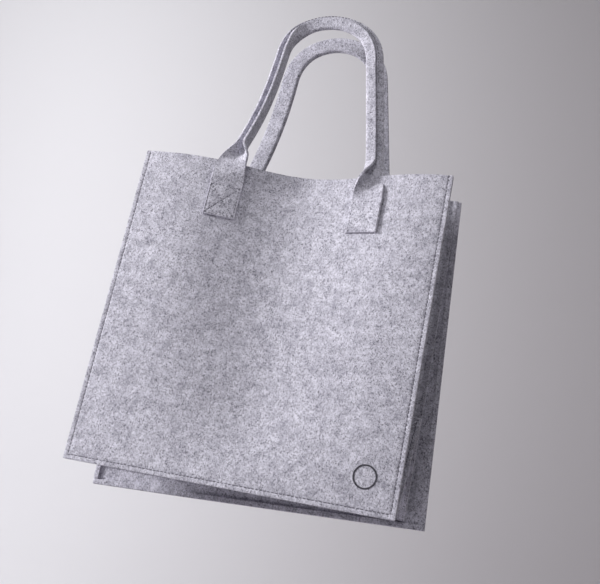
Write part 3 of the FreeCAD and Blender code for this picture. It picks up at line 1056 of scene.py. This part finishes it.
@dataclass(frozen=True)
class Strap:
    """Handle: one strap, flat at its sewn tabs and folded lengthwise in between."""

    panel: Panel
    step: float = 3.0 * MM
    columns: int = 30
    box_width: float = 34.0 * MM
    box_height: float = 38.0 * MM
    shift: float = 7.0 * MM
    pull: float = 8.0 * MM
    loop_height: float = 200.0 * MM
    fold_radius: float = 3.4 * MM
    soft_radius: float = 14.0 * MM
    loose_leg: LengthwiseFold = LengthwiseFold(14.0 * MM, math.radians(152.0))
    tight_leg: LengthwiseFold = LengthwiseFold(18.0 * MM, math.radians(172.0))
    arch: LengthwiseFold = LengthwiseFold(16.5 * MM, math.radians(176.0))
    roll: float = math.radians(58.0)
    tilt: float = math.radians(5.0)
    lift: float = 0.15 * MM
    groove: float = 0.5 * MM
    groove_width: float = 1.3 * MM
    looseness: float = 1.8 * MM
    curl: float = 1.2 * MM
    grip_start: float = 120.0 * MM
    grip_inset: float = 5.5 * MM
    grip_lift: float = 0.1 * MM

    @property
    def size(self) -> Measures:
        """Returns the bag's measures."""
        return self.panel.size

    @property
    def box_middle(self) -> float:
        """Returns the height of the middle of a tab's sewn box."""
        return self.size.tab_low + (self.size.strap - self.box_width) / 2 + self.box_height / 2

    @property
    def shoulders(self) -> dict[int, tuple[float, float]]:
        """Returns the heights above the rim between which each leg folds, by the sign of its side."""
        return {-1: (-6.0 * MM, 30.0 * MM), 1: (-34.0 * MM, 26.0 * MM)}

    @property
    def face(self) -> Face:
        """Returns the face that the strap is sewn to."""
        return self.panel.face

    def half_path(self) -> list[Station]:
        """Walks from the lower end of the right tab to the top of the arch.

        Returns:
            The stations on the right half.
        """
        size = self.size
        x, z, lean = size.tab_x, size.tab_low, 0.0
        arch_x = size.arch_radius * math.cos(size.lean)
        stations = []
        while x > self.step / 2:
            rise = z - size.height
            stations.append(Station(x, z, lean, 0.0, 1))
            step = self.step if x > arch_x else self.step * 1.2
            if x > arch_x:
                lean = size.lean * smooth(rise, -12 * MM, 30 * MM)
            else:
                lean += step / size.arch_radius
            x -= step * math.sin(min(lean, math.pi / 2))
            z += step * math.cos(min(lean, math.pi / 2))
        stations.append(Station(0.0, z, math.pi / 2, 0.0, 1))
        return stations

    def path(self) -> list[Station]:
        """Returns the stations of the whole strap, from the left tab over the arch to the right tab."""
        half = self.half_path()
        placed = []
        for side in Side:
            low, high = self.shoulders[side.value]
            for s in half:
                rise = s.z - self.size.height
                pulled = math.sin(math.pi * min(max(rise / self.loop_height, 0.0), 1.0))
                x = side.value * s.x + self.shift + (self.pull * pulled if side is Side.LEFT else 0.0)
                placed.append(Station(x, s.z, side.value * s.lean, smooth(rise, low, high), side.value))
        return placed[: len(half) - 1] + placed[len(half):][::-1]

    def length(self) -> float:
        """Returns the strap's length, measured along its path."""
        places = [self.base(station) for station in self.path()]
        return sum((end - start).length for start, end in zip(places, places[1:]))

    def sewn_dent(self, across: float, up: float) -> float:
        """Returns how deep the box of stitches pulls the felt in, from the box's middle."""
        half_w, half_h = self.box_width / 2, self.box_height / 2
        if abs(across) > half_w + 3 * MM or abs(up) > half_h + 3 * MM:
            return 0.0
        slope = math.hypot(half_w, half_h)
        crosses = [abs(across * half_h - sign * up * half_w) / slope for sign in (1, -1)]
        nearest = min(abs(abs(across) - half_w), abs(abs(up) - half_h), *crosses)
        return self.groove * math.exp(-((nearest / self.groove_width) ** 2))

    def section(self, share: float, station: Station) -> tuple[float, float]:
        """Place across the strap on its back face, in the plane across its path.

        Args:
            share: 0 at the edge on the loop's outer side, 1 at the other edge.
            station: the place along the strap.

        Returns:
            Distance outwards in the loop's plane, and distance out of that plane.
        """
        width = self.size.strap
        arched = smooth(abs(station.lean), 0.3, 1.2)
        open_leg = station.side < 0 and self.face is Face.FRONT
        folded = (self.loose_leg if open_leg else self.tight_leg).towards(self.arch, arched)
        straight = mix(width / 2, folded.straight, station.fold)
        angle = folded.turn * station.fold
        radius = mix(self.soft_radius, self.fold_radius, station.fold)
        along = share * width
        if along <= straight or angle < 1e-4:
            place = (-along, 0.0)
        else:
            turned = min((along - straight) / radius, angle)
            rest = max(along - straight - angle * radius, 0.0)
            place = (-straight - radius * math.sin(turned) - rest * math.cos(angle),
                     radius * (1 - math.cos(turned)) + rest * math.sin(angle))
        middle = mix(width / 2, (straight + self.fold_radius) / 2, station.fold)
        across, forward = place[0] + middle, place[1] - self.fold_radius * station.fold
        roll = self.roll * station.fold * (1 - arched) if open_leg else 0.0
        return (across * math.cos(roll) - forward * math.sin(roll),
                across * math.sin(roll) + forward * math.cos(roll))

    def base(self, station: Station) -> Vector:
        """Returns the point of the strap's path, on the back face of the strap."""
        on_panel = self.panel.outside(station.x, min(station.z, self.size.height), self.lift)
        rise = max(station.z - self.size.height, 0.0)
        flat_y = self.face.value * (self.size.inner_y + self.size.felt)
        bow = (on_panel.y - flat_y) * (1 - smooth(rise, 0.0, 190 * MM))
        lean = -self.face.value * math.tan(self.tilt) * rise
        return Vector((station.x, flat_y + bow + lean, on_panel.z + rise))

    def outwards(self, station: Station) -> Vector:
        """Returns the direction out of the loop at a station, in the loop's plane."""
        lean = abs(station.lean)
        return Vector((station.side * math.cos(lean), 0, math.sin(lean)))

    def place(self, share: float, station: Station) -> Vector:
        """Returns the point a share of the way across the strap at a station."""
        across, forward = self.section(share, station)
        side = station.side
        point = self.base(station) + self.outwards(station) * across
        point.y += self.face.value * forward
        if station.z < self.size.height - 2 * MM:
            x = station.x + side * across
            on_panel = self.panel.outside(x, station.z, self.lift)
            dent = self.sewn_dent(across, station.z - self.box_middle)
            box_top = self.box_middle + self.box_height / 2
            loose = self.looseness * smooth(station.z, box_top, self.size.height)
            edge = smooth(abs(across), 8 * MM, 19 * MM) * self.curl * (side > 0 and across > 0)
            on_panel.y += self.face.value * (loose - dent + edge)
            on_panel.y += self.face.value * forward
            share_on = 1 - smooth(station.z, self.size.height - 22 * MM, self.size.height - 2 * MM)
            point = point.lerp(on_panel, share_on)
        return point

    def build(self, cloth: Cloth) -> bpy.types.Object:
        """Cuts the strap and bakes it in place."""
        stations = self.path()
        shares = [i / self.columns for i in range(self.columns + 1)]
        numbers = [float(i) for i in range(len(stations))]

        def place(share: float, number: float) -> Vector:
            """Returns the grid's point; its columns run from the left edge to the right edge."""
            return self.place(share, stations[int(number)])

        word = self.face.word
        strap = cloth.cut(f"{word}_strap_felt", shares, numbers, place, -self.face.value)
        low = Vector((0, 0, self.size.height - 4 * MM))
        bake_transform(strap)
        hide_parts(f"{word}_handle", f"{word}_left_tab", f"{word}_right_tab")
        return strap

    def sew_tab(self, stitching: Stitching, side: Side) -> bpy.types.Object:
        """Sews the box with its cross on one tab."""
        size = self.size
        half_w, half_h = self.box_width / 2, self.box_height / 2
        corners = [(-half_w, -half_h), (half_w, -half_h), (half_w, half_h), (-half_w, half_h)]
        edges = [(corners[i], corners[(i + 1) % 4]) for i in range(4)]
        edges += [(corners[0], corners[2]), (corners[1], corners[3])]
        out = Vector((0, self.face.value, 0))
        rows = []
        for (x1, z1), (x2, z2) in edges:
            row = []
            for i in range(7):
                x = side.value * size.tab_x + self.shift + mix(x1, x2, i / 6)
                z = self.box_middle + mix(z1, z2, i / 6)
                row.append((self.panel.outside(x, z, size.felt - self.lift), out))
            rows.append(row)
        word = self.face.word
        stitches = stitching.sew(f"{word}_{side.word}_tab_stitches", rows)
        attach(stitches, word)
        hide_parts(f"{word}_{side.word}_tab_thread")
        return stitches

    def sew_grip(self, stitching: Stitching) -> bpy.types.Object:
        """Sews the folded strap shut along the grip."""
        normal = Vector((0, self.face.value, 0))
        front = normal * (self.fold_radius * 1.5 + self.grip_lift)
        row = []
        for station in self.path():
            if station.z > self.size.handle.z + self.grip_start:
                inset = self.outwards(station) * self.grip_inset
                row.append((self.base(station) + inset + front, normal))
        word = self.face.word
        stitches = stitching.sew(f"{word}_grip_stitches", [row])
        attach(stitches, f"{word}_handle")
        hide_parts(f"{word}_handle_thread")
        return stitches


# ------------------------------------------------------------------- stage


@dataclass(frozen=True)
class SoftLight:
    """Square soft light; places are in metres and the power in watts."""

    name: str
    at: tuple[float, float, float]
    size: float
    power: float
    aim: tuple[float, float, float] = (0.0, 0.0, 0.2)
    tint: tuple[float, float, float] = (1.0, 0.995, 1.0)

    def switch_on(self) -> None:
        """Adds the light to the scene, out of the camera's sight."""
        lamp = bpy.data.lights.new(self.name, "AREA")
        lamp.size = self.size
        lamp.energy = self.power
        lamp.color = self.tint
        light = bpy.data.objects.new(self.name, lamp)
        light.location = self.at
        facing = Vector(self.aim) - Vector(self.at)
        light.rotation_euler = facing.to_track_quat("-Z", "Y").to_euler()
        light.visible_camera = False
        bpy.context.scene.collection.objects.link(light)
        log.info("light %s", self.name)


@dataclass(frozen=True)
class Studio:
    """Pale curved backdrop, soft lights and the camera."""

    floor_z: float = -0.62
    floor_front: float = -4.0
    wall_y: float = 1.7
    wall_height: float = 4.0
    paper_width: float = 12.0
    paper_bend: float = 0.7
    # Painted light falloff on the paper: the paler colour on the left stands for the key light, and the
    # darker one on the right is painted shade; they blend across the X span of the falloff.
    paper_lit_left: str = "#e2e1e5"
    paper_shaded_right: str = "#aeaaae"
    paper_light_falloff: tuple[float, float] = (-1.55, 0.75)
    room: str = "#eceaf0"
    room_strength: float = 0.07
    lights: tuple[SoftLight, ...] = (
        SoftLight("key", (-2.0, -0.85, 0.75), 0.6, 66.0),
        SoftLight("front_fill", (-0.5, -2.0, 1.3), 1.2, 12.0),
        SoftLight("side_fill", (1.5, -0.9, 2.2), 0.8, 14.0),
        SoftLight("wall_light", (-2.0, 0.3, 1.9), 1.6, 15.0, (-0.9, 1.7, 1.3)),
    )
    camera_at: tuple[float, float, float] = (0.336, -0.9961, -0.0709)
    forward: tuple[float, float, float] = (-0.2812, 0.9162, 0.2854)
    upward: tuple[float, float, float] = (-0.1178, -0.3281, 0.9373)
    lens: float = 55.9

    def backdrop_material(self) -> bpy.types.Material:
        """Returns matte studio paper with painted light: paler on the left, where the key light falls, and
        painted shade towards the right.
        """
        made, tree, place = blank_material("studio_paper")
        axes = add_node(tree, "ShaderNodeSeparateXYZ", {}, {0: place})
        # Painted light falloff across the paper, from left to right.
        share = add_ramp(axes.outputs["X"], self.paper_light_falloff, kind="SMOOTHSTEP")
        colour = blended(share, linear(self.paper_lit_left), linear(self.paper_shaded_right))
        shader = add_node(tree, "ShaderNodeBsdfPrincipled", {}, {
            "Base Color": colour, "Roughness": 0.9, "Specular IOR Level": 0.1,
        })
        return surfaced(made, shader)

    def build_backdrop(self) -> bpy.types.Object:
        """Makes the floor and the wall as one sheet with a rounded bend."""
        select_only()
        bpy.ops.mesh.primitive_plane_add(size=1.0)
        paper = bpy.context.object
        paper.name = "backdrop"
        for vertex in paper.data.vertices:
            end_y = self.wall_y if vertex.co.y > 0 else self.floor_front
            vertex.co = Vector((vertex.co.x * self.paper_width, end_y, self.floor_z))
        bpy.ops.object.mode_set(mode="EDIT")
        bpy.ops.mesh.select_all(action="DESELECT")
        bpy.ops.mesh.select_mode(type="EDGE")
        bpy.ops.object.mode_set(mode="OBJECT")
        for edge in paper.data.edges:
            ends = [paper.data.vertices[i].co.y for i in edge.vertices]
            edge.select = min(ends) > 0
        bpy.ops.object.mode_set(mode="EDIT")
        bpy.ops.mesh.extrude_region_move(TRANSFORM_OT_translate={"value": (0, 0, self.wall_height)})
        bpy.ops.object.mode_set(mode="OBJECT")
        bend = paper.modifiers.new("Bend", "BEVEL")
        bend.width = self.paper_bend
        bend.segments = 16
        finish_modifiers(paper)
        bpy.ops.object.shade_smooth()
        paper.data.materials.append(self.backdrop_material())
        log.info("backdrop")
        return paper

    def light(self) -> None:
        """Lights the bag softly from its front left, and leaves its right side in shade."""
        for light in self.lights:
            light.switch_on()
        world = bpy.data.worlds.new("soft_room")
        world.use_nodes = True
        world.node_tree.nodes["Background"].inputs["Color"].default_value = linear(self.room)
        world.node_tree.nodes["Background"].inputs["Strength"].default_value = self.room_strength
        bpy.context.scene.world = world
        bpy.context.scene.view_settings.view_transform = "Standard"

    def place_camera(self) -> None:
        """Sets the camera a little below the bag and to its right, looking up at it."""
        lens = bpy.data.cameras.new("camera")
        lens.lens = self.lens
        lens.sensor_width = 36.0
        lens.sensor_fit = "HORIZONTAL"
        camera = bpy.data.objects.new("camera", lens)
        ahead = Vector(self.forward).normalized()
        right = ahead.cross(Vector(self.upward)).normalized()
        turn = Matrix((right, right.cross(ahead), -ahead)).transposed()
        camera.matrix_world = Matrix.Translation(self.camera_at) @ turn.to_4x4()
        bpy.context.scene.collection.objects.link(camera)
        bpy.context.scene.camera = camera


# --------------------------------------------------------------------- bag


@dataclass(frozen=True)
class FeltBag:
    """The whole bag, made piece by piece in sewing order."""

    size: Measures
    cloth: Cloth
    stitching: Stitching
    front_bow: float = 27.0 * MM
    back_bow: float = 4.0 * MM

    def build_face(self, face: Face, bow: float) -> None:
        """Makes a panel with its seams, strap and stitches.

        Args:
            face: the face of the bag.
            bow: how far the middle of the panel's rim bows towards the back.
        """
        panel = Panel(face, self.size, self.cloth, self.stitching, bow)
        sheet = panel.build()
        seam = panel.sew()
        2 * self.size.half_width
        self.size.height
        f"{face.word}_strap_felt"
        strap = Strap(panel)
        sewn = [strap.sew_tab(self.stitching, side) for side in Side]
        sewn.append(strap.sew_grip(self.stitching))
        piece = strap.build(self.cloth)
        self.size.strap
        strap.length()
        sheet.name

    def build_side(self, side: Side, face: Face) -> Corner:
        """Makes a gusset half with its folded corner.

        Args:
            side: the side of the bag.
            face: the panel that the half is sewn to.

        Returns:
            The corner.
        """
        half = GussetHalf(side, face, self.size, self.cloth)
        piece = half.build()
        length = self.size.half_gusset + self.size.allowance
        area = length * (self.size.height - self.size.allowance) - self.size.half_gusset**2 / 2
        self.size.height
        f"{face.word}_panel"
        if (side, face) == (Side.LEFT, Face.BACK):
            half.allowance_strip()
        corner = Corner(half, self.stitching)
        flap = corner.build()
        row = corner.sew()
        reach = self.size.half_gusset
        reach + self.size.allowance
        reach**2 / 2 + reach * self.size.allowance
        piece.name
        return corner

    def build_bottom(self, face: Face, corner: Corner) -> None:
        """Makes one half of the bottom.

        Args:
            face: the panel that the half is sewn to.
            corner: the folded corner that the half's end is sewn to.
        """
        bottom = BottomHalf(face, self.size, self.cloth, corner)
        pieces = bottom.build()
        length = math.hypot(bottom.foot_y, self.size.ridge_z - self.size.allowance)
        length += self.size.allowance if face is Face.FRONT else 0.0
        2 * self.size.half_width
        f"{face.word}_panel"

    def build(self) -> None:
        """Makes every piece of the bag."""
        for face in Face:
            corner = self.build_side(Side.RIGHT, face)
            self.build_side(Side.LEFT, face)
            self.build_bottom(face, corner)
        self.build_face(Face.FRONT, self.front_bow)
        self.build_face(Face.BACK, self.back_bow)
        mark = frame["nodes"]["printed_mark"]
        mark.data.materials.clear()
        mark.data.materials.append(ScreenPrint().material())
        log.info("printed ring")


def main() -> None:
    """Makes the bag, then the studio round it."""
    logging.basicConfig(level=logging.INFO, format="%(name)s: %(message)s")
    size = Measures.from_frame()
    cloth = Cloth(NeedleFelt().material(), size.felt)
    FeltBag(size, cloth, Stitching(SpunThread().material())).build()
    studio = Studio()
    studio.build_backdrop()
    studio.light()
    studio.place_camera()


if __name__ == "__main__":
    main()
